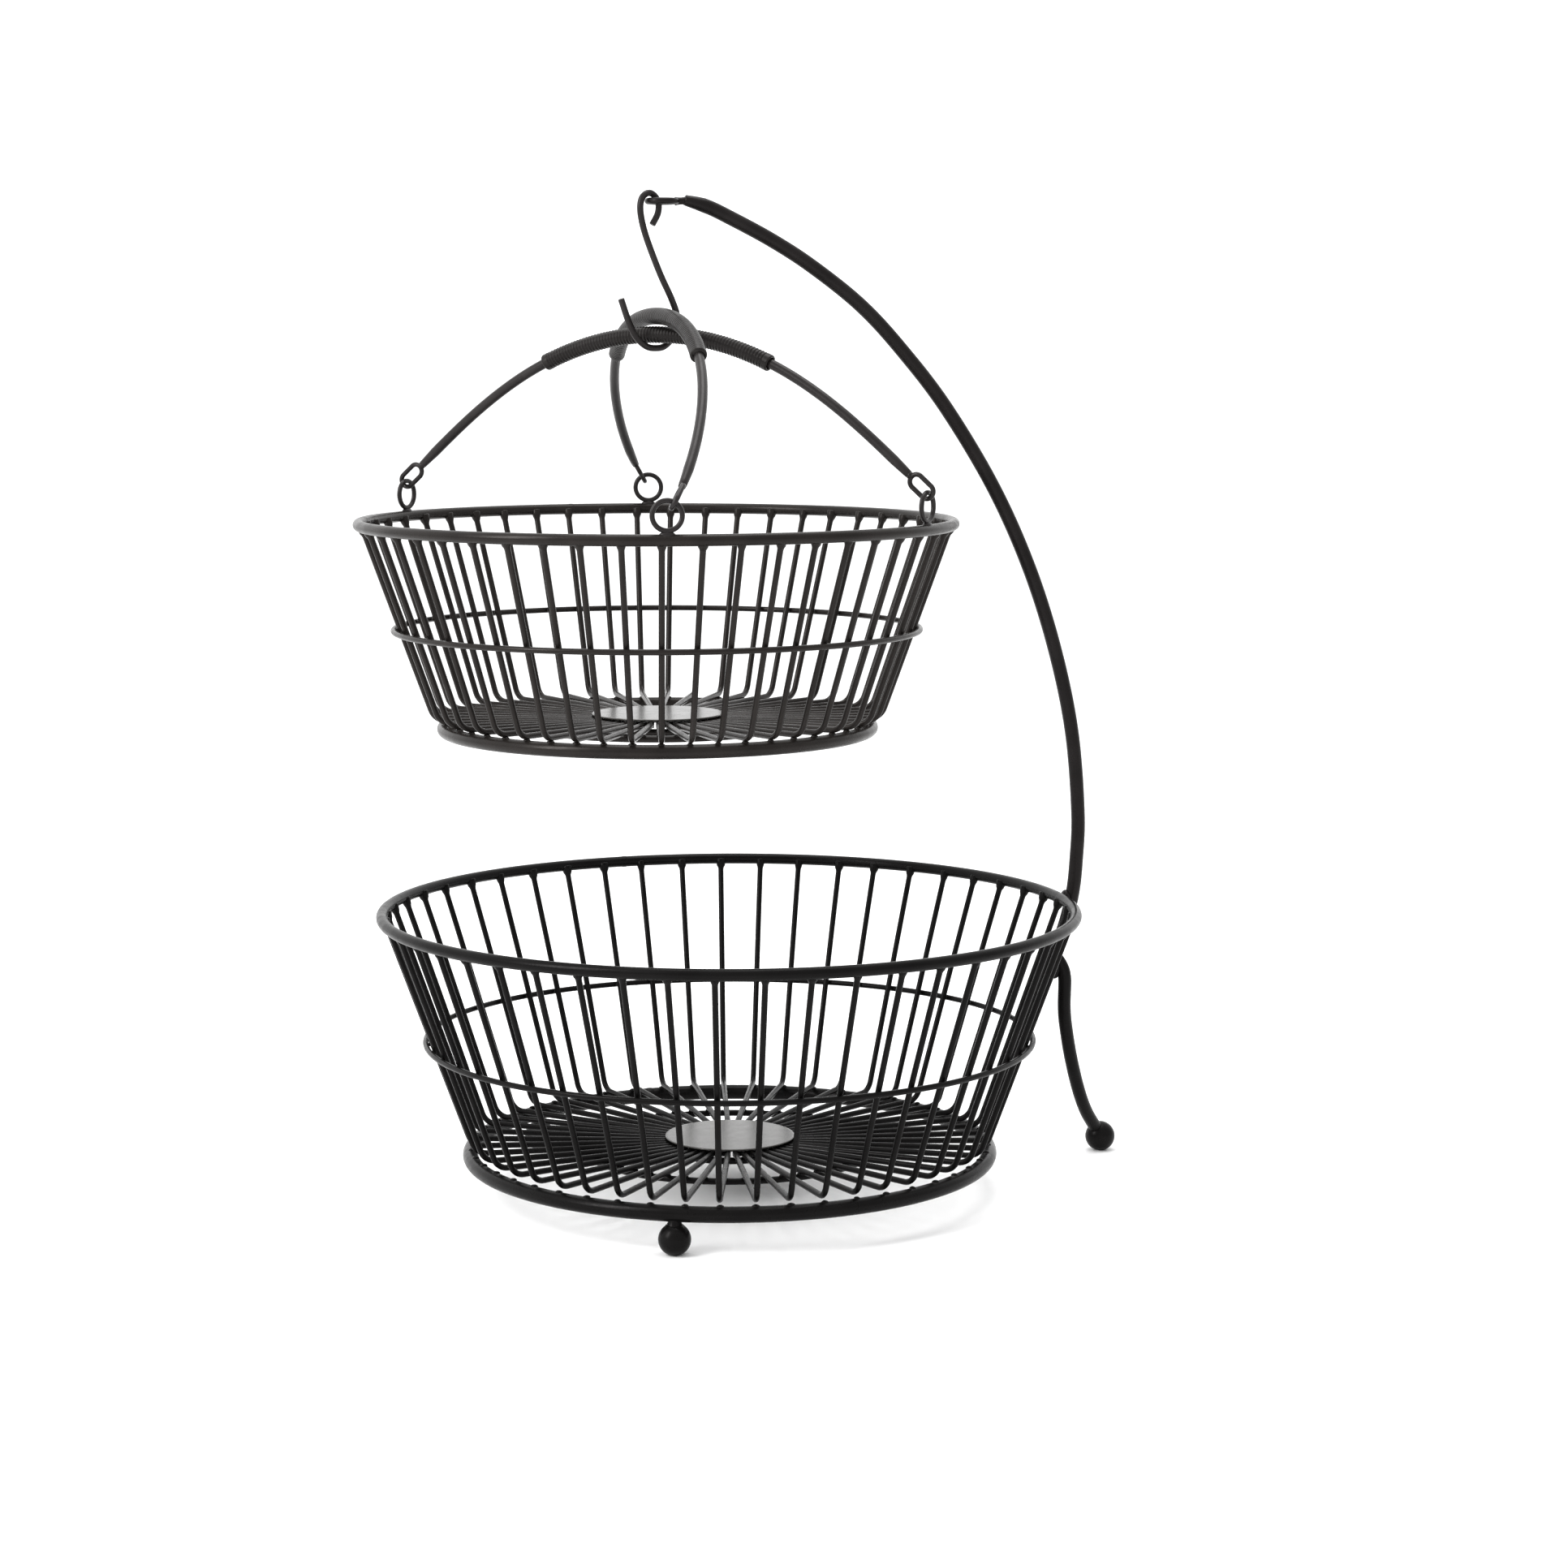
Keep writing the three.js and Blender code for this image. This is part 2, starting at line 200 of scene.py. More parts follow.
def polar(axis_x, r, deg, z):
    """Point at radius r and height z, turned by deg about a vertical axis at x = axis_x."""
    a = math.radians(deg)
    return Vector((axis_x + r * math.cos(a), r * math.sin(a), z))


def new_piece(name, bm, material, body, nodes=()):
    """Turns a bmesh into a smooth shaded object that rides on a body and replaces CAD nodes."""
    bmesh.ops.recalc_face_normals(bm, faces=bm.faces)
    mesh = bpy.data.meshes.new(name)
    bm.to_mesh(mesh)
    bm.free()
    mesh.shade_smooth()
    mesh.materials.append(material)
    piece = bpy.data.objects.new(name, mesh)
    bpy.context.scene.collection.objects.link(piece)
    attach(piece, body)
    if nodes:
        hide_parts(*nodes)
    return piece


def tangents(points, closed):
    """Unit direction of the path at each point."""
    n = len(points)
    result = []
    for i in range(n):
        if closed:
            before, after = points[i - 1], points[(i + 1) % n]
        else:
            before, after = points[max(i - 1, 0)], points[min(i + 1, n - 1)]
        result.append((after - before).normalized())
    return result


def frames(points, closed):
    """Two directions across the path at each point, carried along without twist."""
    along = tangents(points, closed)
    helper = Vector((0, 0, 1)) if abs(along[0].z) < 0.9 else Vector((1, 0, 0))
    side = along[0].cross(helper).normalized()
    result = []
    for t in along:
        side = (side - t * side.dot(t)).normalized()
        result.append((side, t.cross(side)))
    return result


def add_rings(bm, points, radii, sides, closed=False):
    """Rings of vertices round the path; radii holds one radius for each point."""
    rings = []
    for point, radius, (side, up) in zip(points, radii, frames(points, closed)):
        ring = []
        for k in range(sides):
            a = 2 * math.pi * k / sides
            ring.append(bm.verts.new(point + radius * (math.cos(a) * side + math.sin(a) * up)))
        rings.append(ring)
    return rings


def bridge(bm, a, b):
    """Faces between two rings of the same count."""
    n = len(a)
    for k in range(n):
        bm.faces.new((a[k], a[(k + 1) % n], b[(k + 1) % n], b[k]))


def add_wire(bm, points, radii, sides=12):
    """Open wire with softly rounded ends."""
    points, radii = round_ends(points, radii)
    rings = add_rings(bm, points, radii, sides)
    for a, b in zip(rings, rings[1:]):
        bridge(bm, a, b)
    bm.faces.new(rings[0])
    bm.faces.new(list(reversed(rings[-1])))


def round_ends(points, radii):
    """Adds two short rings at each end, so that a cut end has a soft edge."""
    start = (points[0] - points[1]).normalized()
    end = (points[-1] - points[-2]).normalized()
    r0, r1 = radii[0], radii[-1]
    soft = 0.22
    first = [points[0], points[0] - start * soft * r0]
    last = [points[-1] - end * soft * r1, points[-1]]
    new_points = [first[0]] + [first[0].lerp(first[1], 0.35)] + [first[1]] + points[1:-1]
    new_points += [last[0]] + [last[0].lerp(last[1], 0.65)] + [last[1]]
    new_radii = [r0 * (1 - soft), r0 * (1 - soft * 0.25), r0] + radii[1:-1]
    new_radii += [r1, r1 * (1 - soft * 0.25), r1 * (1 - soft)]
    return new_points, new_radii


def add_ring(bm, centre, radius, wire_r, around, sides, x_axis=EAST, y_axis=NORTH, stretch=0.0):
    """Closed ring; stretch pulls its two halves apart along x_axis to make a long link."""
    points = []
    for i in range(around):
        a = 2 * math.pi * (i + 0.5) / around
        shift = math.copysign(stretch, math.cos(a))
        points.append(centre + x_axis * (radius * math.cos(a) + shift) + y_axis * radius * math.sin(a))
    rings = add_rings(bm, points, [wire_r] * around, sides, closed=True)
    for i in range(around):
        bridge(bm, rings[i - 1], rings[i])


def add_blob(bm, centre, size, squash=(1, 1, 1), turn_deg=0):
    """Small lump of weld metal."""
    matrix = Matrix.Translation(centre) @ Matrix.Rotation(math.radians(turn_deg), 4, "Z")
    matrix = matrix @ Matrix.Diagonal((*squash, 1))
    bmesh.ops.create_uvsphere(bm, u_segments=14, v_segments=10, radius=size, matrix=matrix)


def spline(points, steps):
    """Smooth curve through the points, sampled at an even number of steps on each span."""
    result = []
    n = len(points)
    for i in range(n - 1):
        p1, p2 = points[i], points[i + 1]
        p0 = points[i - 1] if i else p1 * 2 - p2
        p3 = points[i + 2] if i + 2 < n else p2 * 2 - p1
        for k in range(steps):
            t = k / steps
            a = (p2 - p0) * t
            b = (2 * p0 - 5 * p1 + 4 * p2 - p3) * t * t
            c = (3 * p1 - p0 - 3 * p2 + p3) * t ** 3
            result.append(p1 + 0.5 * (a + b + c))
    result.append(points[-1])
    return result


def path_lengths(points):
    """Distance along the path at each point."""
    total = 0.0
    lengths = [0.0]
    for a, b in zip(points, points[1:]):
        total += (b - a).length
        lengths.append(total)
    return lengths


def resample(points, count):
    """The same path with evenly spaced points."""
    lengths = path_lengths(points)
    result = []
    j = 0
    for i in range(count):
        target = lengths[-1] * i / (count - 1)
        while j < len(lengths) - 2 and lengths[j + 1] < target:
            j += 1
        share = (target - lengths[j]) / (lengths[j + 1] - lengths[j])
        result.append(points[j].lerp(points[j + 1], min(max(share, 0.0), 1.0)))
    return result


# ---------------------------------------------------------------- materials

def add_noise(tree, place, scale, detail):
    """Noise that is fixed to the object; returns its value socket."""
    noise = tree.nodes.new("ShaderNodeTexNoise")
    noise.inputs["Scale"].default_value = scale
    noise.inputs["Detail"].default_value = detail
    tree.links.new(place.outputs["Object"], noise.inputs["Vector"])
    return noise.outputs["Fac"]


def cloudy_colour(tree, place, coat):
    """Slow drift between the coat's darkest and lightest colour."""
    colour = tree.nodes.new("ShaderNodeValToRGB")
    darkest, lightest = colour.color_ramp.elements
    darkest.position, lightest.position = 0.32, 0.72
    darkest.color = (*coat["dark"], 1)
    lightest.color = (*coat["light"], 1)
    tree.links.new(add_noise(tree, place, CLOUD_SCALE, 5), colour.inputs["Fac"])
    return colour.outputs["Color"]


def uneven_gloss(tree, place, coat):
    """Roughness that wanders between the coat's two limits."""
    gloss = tree.nodes.new("ShaderNodeMapRange")
    gloss.inputs["From Min"].default_value = 0.3
    gloss.inputs["From Max"].default_value = 0.7
    gloss.inputs["To Min"].default_value, gloss.inputs["To Max"].default_value = coat["rough"]
    tree.links.new(add_noise(tree, place, GLOSS_SCALE, 3), gloss.inputs["Value"])
    return gloss.outputs["Result"]


def orange_peel(tree, place, coat):
    """Fine ripple of the sprayed coat."""
    bump = tree.nodes.new("ShaderNodeBump")
    bump.inputs["Strength"].default_value = coat["peel"]
    bump.inputs["Distance"].default_value = PEEL_HEIGHT
    tree.links.new(add_noise(tree, place, PEEL_SCALE, 2), bump.inputs["Height"])
    return bump.outputs["Normal"]


def powder_coat(name):
    """Satin powder coat: slight cloudiness in colour and gloss, and a fine orange-peel surface."""
    coat = COATS[name]
    material = bpy.data.materials.new(f"coat_{name}")
    material.use_nodes = True
    tree = material.node_tree
    shader = tree.nodes["Principled BSDF"]
    shader.inputs["Specular IOR Level"].default_value = coat["gloss"]
    shader.inputs["Specular Tint"].default_value = (*coat["gloss_tint"], 1)
    place = tree.nodes.new("ShaderNodeTexCoord")
    tree.links.new(cloudy_colour(tree, place, coat), shader.inputs["Base Color"])
    tree.links.new(uneven_gloss(tree, place, coat), shader.inputs["Roughness"])
    tree.links.new(orange_peel(tree, place, coat), shader.inputs["Normal"])
    return material


def floor_material():
    """Pale matt floor with the faintest mottling."""
    material = bpy.data.materials.new("pale_sweep")
    material.use_nodes = True
    nodes, links = material.node_tree.nodes, material.node_tree.links
    shader = nodes["Principled BSDF"]
    shader.inputs["Roughness"].default_value = 0.9
    shader.inputs["Specular IOR Level"].default_value = 0.1
    noise = nodes.new("ShaderNodeTexNoise")
    noise.inputs["Scale"].default_value = 3
    ramp = nodes.new("ShaderNodeValToRGB")
    ramp.color_ramp.elements[0].color = (0.93, 0.93, 0.93, 1)
    ramp.color_ramp.elements[1].color = (0.96, 0.96, 0.96, 1)
    links.new(noise.outputs["Fac"], ramp.inputs["Fac"])
    links.new(ramp.outputs["Color"], shader.inputs["Base Color"])
    return material


# ---------------------------------------------------------------- baskets

def measure_basket(name):
    """Rings' places and heights, read from the frame."""
    basket = dict(BASKETS[name])
    rim_low, rim_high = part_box(f"{name}_rim")
    mid_low, mid_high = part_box(f"{name}_mid_ring")
    foot_low, foot_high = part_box(f"{name}_foot_ring")
    inner_low, inner_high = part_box(f"{name}_inner_ring")
    hub_low, hub_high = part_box(f"{name}_hub_ring")
    disc_low, disc_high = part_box(f"{name}_hub_disc")
    basket["name"] = name
    basket["x"] = (rim_low.x + rim_high.x) / 2
    basket["rim_r"] = (rim_high.x - rim_low.x) / 2 - basket["rim_wire"]
    basket["rim_z"] = (rim_low.z + rim_high.z) / 2
    basket["mid_r"] = (mid_high.x - mid_low.x) / 2 - basket["mid_wire"]
    basket["mid_z"] = (mid_low.z + mid_high.z) / 2
    basket["foot_r"] = (foot_high.x - foot_low.x) / 2 - basket["foot_wire"]
    basket["foot_z"] = (foot_low.z + foot_high.z) / 2
    basket["inner_r"] = (inner_high.x - inner_low.x) / 2 - INNER_RING_R
    basket["inner_z"] = (inner_low.z + inner_high.z) / 2
    basket["hub_z"] = (hub_low.z + hub_high.z) / 2
    basket["disc_z"] = (disc_low.z, disc_high.z)
    basket["floor_z"] = basket["foot_z"] + basket["foot_wire"] + TOUCH_GAP + SPOKE_R
    return basket


def wall_direction(basket):
    """Radius and height parts of the unit vector up the wall."""
    rise = basket["rim_z"] - basket["mid_z"]
    run = basket["rim_r"] - SPOKE_IN_FROM_RIM - basket["mid_spoke_r"]
    length = math.hypot(rise, run)
    return run / length, rise / length


def spoke_profile(basket):
    """Radius and height along one spoke, from inside the rim to under the disc."""
    run, rise = wall_direction(basket)
    top_r = basket["rim_r"] - SPOKE_IN_FROM_RIM
    corner_r = basket["mid_spoke_r"] - run / rise * (basket["mid_z"] - basket["floor_z"])
    turn = math.acos(run)
    cut = BEND_R * math.tan(turn / 2)
    centre = (corner_r - cut, basket["floor_z"] + BEND_R)
    profile = [Vector((top_r, basket["rim_z"]))]
    wall_length = (basket["rim_z"] - basket["floor_z"]) / rise - cut
    for stop in WELD_STOPS:
        profile.append(profile[0] - Vector((run, rise)) * (basket["rim_wire"] + stop))
    profile.append(profile[0] - Vector((run, rise)) * wall_length * 0.5)
    for i in range(BEND_STEPS + 1):
        a = turn * (1 - i / BEND_STEPS)
        profile.append(Vector((centre[0] + BEND_R * math.sin(a), centre[1] - BEND_R * math.cos(a))))
    bend_end = profile[-1]
    hub_end = Vector((HUB_R - 1 * MM, basket["floor_z"] - HUB_DROP))
    for share in (0.25, 0.5, 0.75, 1.0):
        profile.append(bend_end.lerp(hub_end, share))
    return profile


def spoke_radii(basket, profile, grow):
    """Wire radius along the spoke, swelling into the weld under the rim."""
    start = profile[0]
    radii = []
    for p in profile:
        clear = (p - start).length - basket["rim_wire"]
        swell = max(0.0, 1 - clear / WELD_REACH)
        radii.append(SPOKE_R + grow * min(swell, 1.0) ** 2)
    return radii


def spoke_path(basket, profile, deg, lean, top):
    """The profile stood up at deg, bowed sideways by lean and with its upper end moved by top."""
    points = []
    for r, z in profile:
        share = (r - HUB_R) / (basket["rim_r"] - HUB_R)
        bow = lean * min(share * 1.4, 1) * (1 - share)
        points.append(polar(basket["x"], r, deg + bow + top * share, z))
    return points


def add_spoke_welds(bm, basket, deg, rng):
    """Lumps of weld where one spoke crosses the foot ring, the inner ring and the mid ring."""
    foot_top = basket["foot_z"] + basket["foot_wire"] * 0.92
    foot = polar(basket["x"], basket["foot_r"] - 0.4 * MM, deg, foot_top)
    add_blob(bm, foot, 1.25 * MM, (1.25, rng.uniform(1.0, 1.5), 0.75), deg)
    inner = polar(basket["x"], basket["inner_r"], deg, basket["inner_z"] + INNER_RING_R)
    add_blob(bm, inner, 0.95 * MM, (1.2, rng.uniform(0.9, 1.4), 0.8), deg)
    mid = polar(basket["x"], (basket["mid_r"] + basket["mid_spoke_r"]) / 2, deg, basket["mid_z"])
    add_blob(bm, mid, 0.85 * MM, (1.1, rng.uniform(1.1, 1.7), 0.9), deg)


def add_hub_bead(bm, basket, first, step):
    """Uneven bead of weld that joins the sector's spokes under the disc."""
    span = (basket["per_sector"] - 1) * step
    points = []
    radii = []
    for i in range(HUB_BEAD_STEPS + 1):
        along = (span + step * 2 * HUB_BEAD_OVERHANG) * i / HUB_BEAD_STEPS
        deg = first - step * HUB_BEAD_OVERHANG + along
        points.append(polar(basket["x"], HUB_R, deg, basket["floor_z"] - HUB_DROP))
        radii.append(HUB_BEAD_R + HUB_BEAD_UNEVEN * math.sin(1.7 * i))
    add_wire(bm, points, radii, 10)


def build_sector(basket, sector, material, rng):
    """One CAD spoke sector: its L-shaped wires and the weld bead that joins them at the hub."""
    bm = bmesh.new()
    step = 360 / basket["spokes"]
    first = basket["first_deg"] + sector * basket["per_sector"] * step
    profile = spoke_profile(basket)
    for i in range(basket["per_sector"]):
        lean = rng.uniform(-LEAN_DEG, LEAN_DEG)
        top = rng.uniform(-TOP_SHIFT_DEG, TOP_SHIFT_DEG)
        deg = first + i * step
        grow = WELD_GROW * rng.uniform(0.7, 1.25)
        points = spoke_path(basket, profile, deg, lean, top)
        add_wire(bm, points, spoke_radii(basket, profile, grow))
        add_spoke_welds(bm, basket, deg, rng)
    add_hub_bead(bm, basket, first, step)
    name = f"{basket['name']}_spokes_{sector + 1:02d}"
    new_piece(f"{name}_wires", bm, material, basket["body"], [name])


def build_plain_ring(basket, label, radius, z, wire_r, around, sides, material):
    """Horizontal wire ring round the basket's axis."""
    bm = bmesh.new()
    add_ring(bm, Vector((basket["x"], 0, z)), radius, wire_r, around, sides)
    add_butt_weld(bm, basket, radius, z, wire_r)
    node = f"{basket['name']}_{label}"
    new_piece(f"{node}_wire", bm, material, basket["body"], [node])


def add_butt_weld(bm, basket, radius, z, wire_r):
    """Slight swelling where the ring's two ends were welded together, at the back."""
    centre = polar(basket["x"], radius, BUTT_WELD_DEG, z)
    add_blob(bm, centre, wire_r * 1.06, (1.5, 1.0, 1.0), 7)


def build_disc(basket, material):
    """Thin stamped disc with a rolled edge over the spokes' inner ends."""
    low, high = basket["disc_z"]
    outline = [(0, low), (DISC_R - DISC_EDGE, low), (DISC_R, low + DISC_EDGE)]
    for i in range(7):
        a = math.pi / 2 * i / 6
        outline.append((DISC_R - DISC_EDGE * (1 - math.cos(a)), high - DISC_EDGE * (1 - math.sin(a))))
    outline += [(DISC_R * 0.96, high), (DISC_R * 0.5, high - 0.05 * MM), (0, high - 0.05 * MM)]
    bm = bmesh.new()
    sides = 96
    rings = []
    for r, z in outline:
        if r == 0:
            rings.append([bm.verts.new((basket["x"], 0, z))])
        else:
            rings.append([bm.verts.new(polar(basket["x"], r, 360 * k / sides, z)) for k in range(sides)])
    for a, b in zip(rings, rings[1:]):
        if len(a) == 1 or len(b) == 1:
            fan(bm, a, b)
        else:
            bridge(bm, a, b)
    node = f"{basket['name']}_hub_disc"
    new_piece(f"{node}_plate", bm, material, basket["body"], [node])


def fan(bm, a, b):
    """Triangles between a single point and a ring."""
    tip, ring = (a[0], b) if len(a) == 1 else (b[0], a)
    for k in range(len(ring)):
        bm.faces.new((tip, ring[k], ring[(k + 1) % len(ring)]))


def build_basket(name, material, disc_material, rng):
    """Five rings, the hub disc and the spoke sectors of one basket."""
    basket = measure_basket(name)
    ring_plan = [
        ("rim", basket["rim_r"], basket["rim_z"], basket["rim_wire"], 240, 24),
        ("mid_ring", basket["mid_r"], basket["mid_z"], basket["mid_wire"], 200, 14),
        ("foot_ring", basket["foot_r"], basket["foot_z"], basket["foot_wire"], 200, 24),
        ("inner_ring", basket["inner_r"], basket["inner_z"], INNER_RING_R, 120, 14),
        ("hub_ring", HUB_R, basket["hub_z"], HUB_RING_R, 72, 14),
    ]
    for label, radius, z, wire_r, around, sides in ring_plan:
        build_plain_ring(basket, label, radius, z, wire_r, around, sides, material)
    build_disc(basket, disc_material)
    for sector in range(basket["spokes"] // basket["per_sector"]):
        build_sector(basket, sector, material, rng)
    return basket


# ---------------------------------------------------------------- feet, leg and arm

def build_ball(node, material, neck=None):
    """Ball foot with a small worn flat below and a weld neck towards what it carries."""
    low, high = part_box(node)
    centre = Vector(((low.x + high.x) / 2, (low.y + high.y) / 2, high.z - BALL_R))
    bm = bmesh.new()
    place = Matrix.Translation(centre)
    bmesh.ops.create_uvsphere(bm, u_segments=40, v_segments=28, radius=BALL_R, matrix=place)
    for v in bm.verts:
        v.co.z = max(v.co.z, low.z)
    if neck is not None:
        reach = (neck - centre).normalized()
        start = centre + reach * BALL_R * 0.72
        span = (neck - start).length
        points = [start + reach * span * i / 6 for i in range(7)]
        radii = [(3.9 - 1.5 * math.sin(math.pi * i / 12)) * MM for i in range(7)]
        add_wire(bm, points, radii, 20)
    new_piece(f"{node}_ball", bm, material, "stand", [node])


def build_leg(axis_x, material):
    """Bent rod from the weld beside the arm's lower end to the third foot."""
    points = resample(spline([polar(axis_x, r * MM, deg, z * MM) for r, deg, z in LEG_TRACK], 8), 60)
    radii = [LEG_R] * len(points)
    for i in range(8):
        radii[i] = LEG_R * (0.62 + 0.38 * math.sin(math.pi / 2 * i / 8))
    bm = bmesh.new()
    add_wire(bm, points, radii, 24)
    add_blob(bm, polar(axis_x, 148.6 * MM, 0, 92.5 * MM), 3.0 * MM, (1.1, 0.8, 2.0))
    new_piece("leg_tube_rod", bm, material, "stand", ["leg_tube"])


def build_arm(axis_x, material):
    """Arched arm, crimped at its tip and hugging the wall at its foot."""
    points = resample(spline([Vector((axis_x + s * MM, 0, z * MM)) for s, z in ARM_TRACK], 10), 150)
    radii = [ARM_R] * len(points)
    for i in range(3):
        radii[i] = ARM_R * (0.74 + 0.26 * i / 3)
    bm = bmesh.new()
    add_wire(bm, points, radii, 28)
    low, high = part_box("lower_rim")
    rim_z = (low.z + high.z) / 2
    add_blob(bm, Vector((axis_x + 153.4 * MM, 0, rim_z)), 2.4 * MM, (0.9, 1.5, 1.5))
    add_blob(bm, Vector((axis_x + 139.2 * MM, 0, 86.5 * MM)), 2.4 * MM, (0.9, 1.4, 2.0))
    new_piece("arm_tube_rod", bm, material, "stand", ["arm_tube"])


def build_arm_loop(axis_x, material):
    """Wire eye at the arm's tip; its two ends run back together into the crimp."""
    low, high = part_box("arm_loop")
    z = (low.z + high.z) / 2
    centre_x = low.x + LOOP_RING_R + LOOP_R
    bm = bmesh.new()
    add_ring(bm, Vector((centre_x, 0, z)), LOOP_RING_R, LOOP_R, 64, 16)
    tip = Vector((axis_x - 17.5 * MM, 0, z + 0.3 * MM))
    root = Vector((centre_x + LOOP_RING_R - 0.6 * MM, 0, z))
    stem = [root.lerp(tip, i / 6) for i in range(7)]
    add_wire(bm, stem, [(1.9 - 0.35 * math.sin(math.pi * i / 6)) * MM for i in range(7)], 16)
    new_piece("arm_loop_wire", bm, material, "stand", ["arm_loop"])


def build_hook(axis_x, material):
    """S-hook bent from one wire, in a plane turned from the arm's."""
    points = resample(spline([polar(axis_x, s * MM, HOOK_DEG, z * MM) for s, z in HOOK_TRACK], 10), 150)
    bm = bmesh.new()
    add_wire(bm, points, [HOOK_R] * len(points), 18)
    new_piece("s_hook_wire", bm, material, "hook", ["s_hook"])


# ---------------------------------------------------------------- bails

def link_centre(basket, eye_z):
    """Where an upright link sits, as distance from the basket axis and height."""
    along = 2 * LINK_R + TOUCH_GAP - LINK_HALF
    return basket["rim_r"] + LINK_DIR[0] * along, eye_z + EYE_R + LINK_DIR[1] * along


def out_side_up(axis_x, deg):
    """Unit vectors outwards at deg, sideways from there, and up; with the point on the axis."""
    a = math.radians(deg)
    out = Vector((math.cos(a), math.sin(a), 0))
    side = Vector((-math.sin(a), math.cos(a), 0))
    return Vector((axis_x, 0, 0)), out, side, Vector((0, 0, 1))


def bail_path(basket, label, eye_z):
    """Points from one end of the bail to the other, over its crown."""
    bail = BAILS[label]
    link_r, link_z = link_centre(basket, eye_z)
    reach = LINK_HALF + LINK_R + TOUCH_GAP
    above = link_z - LINK_DIR[1] * reach - eye_z
    tilt, twist = math.radians(bail["link_tilt_deg"]), math.radians(bail["twist_deg"])
    end = Vector((link_r - LINK_DIR[0] * reach, above * math.sin(tilt), eye_z + above * math.cos(tilt)))
    crown = Vector((0, 0, bail["crown_z"]))
    pull = [
        crown,
        crown + bail["crown_pull"] * Vector((math.cos(twist), math.sin(twist), 0)),
        end - bail["end_pull"] * Vector((LINK_DIR[0], -bail["side_slope"], LINK_DIR[1])),
        end,
    ]
    half = []
    for i in range(121):
        t = i / 120
        s = 1 - t
        half.append(pull[0] * s ** 3 + pull[1] * 3 * s * s * t + pull[2] * 3 * s * t * t + pull[3] * t ** 3)
    sides = []
    for turn in (180, 0):
        start, out, side, up = out_side_up(basket["x"], bail["deg"] + turn)
        sides.append([start + out * p.x + side * p.y + up * p.z for p in half])
    return resample(list(reversed(sides[0][1:])) + sides[1], 241)


def build_rod(label, path, material):
    """The bail's rod, drawn out a little at both ends to take its link."""
    bm = bmesh.new()
    points = resample(path, 121)
    radii = [ROD_R] * len(points)
    for i in range(4):
        radii[i] = radii[-1 - i] = ROD_R * (0.8 + 0.05 * i)
    add_wire(bm, points, radii, 20)
    node = f"{label}_bail_rod"
    new_piece(f"{node}_wire", bm, material, f"{label}_bail", [node])


def build_grip(label, path, material):
    """Ribbed sleeve over the middle of the bail with a smooth cuff at each open end."""
    share = GRIP_FROM_STEP / (2 * ROD_STEPS)
    first = round(share * (len(path) - 1))
    middle = path[first:len(path) - first]
    ribs = round(path_lengths(middle)[-1] / RIB_PITCH)
    sides = 28
    count = ribs * STEPS_PER_RIB + 1
    points = resample(middle, count)
    outer = []
    for i in range(count):
        groove = 0.5 + 0.5 * math.cos(2 * math.pi * i / STEPS_PER_RIB)
        from_end = min(i, count - 1 - i)
        depth = BAILS[label]["rib_depth"] * groove if from_end >= CUFF_STEPS else 0
        outer.append(GRIP_OUT_R - depth - GRIP_ROUNDING * (1 - min(from_end, 2) / 2))
    bm = bmesh.new()
    outside = add_rings(bm, points, outer, sides)
    inside = add_rings(bm, points[::12] + [points[-1]], [GRIP_IN_R] * (len(points[::12]) + 1), sides)
    for a, b in zip(outside, outside[1:]):
        bridge(bm, a, b)
    for a, b in zip(inside, inside[1:]):
        bridge(bm, b, a)
    bridge(bm, inside[0], outside[0])
    bridge(bm, outside[-1], inside[-1])
    node = f"{label}_bail_grip"
    new_piece(f"{node}_sleeve", bm, material, f"{label}_bail", [node])


def end_deg(label, end):
    """Direction of one end of the bail in plan."""
    return BAILS[label]["deg"] + (180 if end == "b" else 0)


def build_link(basket, label, end, eye_z, material):
    """Long wire link between the rod's end and the rim eye, swung round the eye by the bail's tilt."""
    start, out, side, up = out_side_up(basket["x"], end_deg(label, end))
    tilt = math.radians(BAILS[label]["link_tilt_deg"])
    lifted = up * math.cos(tilt) + side * math.sin(tilt)
    along = out * LINK_DIR[0] + lifted * LINK_DIR[1]
    across = (out * -LINK_DIR[1] + lifted * LINK_DIR[0]).normalized()
    r, z = link_centre(basket, eye_z)
    centre = start + out * r + up * eye_z + lifted * (z - eye_z)
    bm = bmesh.new()
    add_ring(bm, centre, LINK_WIDTH, LINK_R, 48, 14, along.normalized(), across, LINK_HALF - LINK_WIDTH)
    add_blob(bm, centre - along * (LINK_HALF + 0.9 * MM), 1.6 * MM)
    node = f"{label}_bail_link_{end}"
    new_piece(f"{node}_wire", bm, material, f"{label}_bail", [node])


def build_eye(basket, label, end, eye_z, material):
    """Wire ring welded upright on the rim."""
    deg = end_deg(label, end)
    start, out, side, up = out_side_up(basket["x"], deg)
    bm = bmesh.new()
    add_ring(bm, start + out * basket["rim_r"] + up * eye_z, EYE_R, LINK_R, 64, 14, side, up)
    weld = polar(basket["x"], basket["rim_r"], deg, basket["rim_z"] + basket["rim_wire"] * 0.9)
    add_blob(bm, weld, 1.9 * MM, (0.85, 1.7, 0.75), deg)
    node = f"upper_eye_{label}_{end}"
    new_piece(f"{node}_ring", bm, material, "upper_basket", [node])


def build_bail(basket, label, material, grip_material):
    """One bail: rod, grip sleeve, and a link and a rim eye at each end."""
    low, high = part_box(f"upper_eye_{label}_a")
    eye_z = (low.z + high.z) / 2
    path = bail_path(basket, label, eye_z)
    build_rod(label, path, material)
    build_grip(label, path, grip_material)
    for end in ("a", "b"):
        build_link(basket, label, end, eye_z, material)
        build_eye(basket, label, end, eye_z, material)


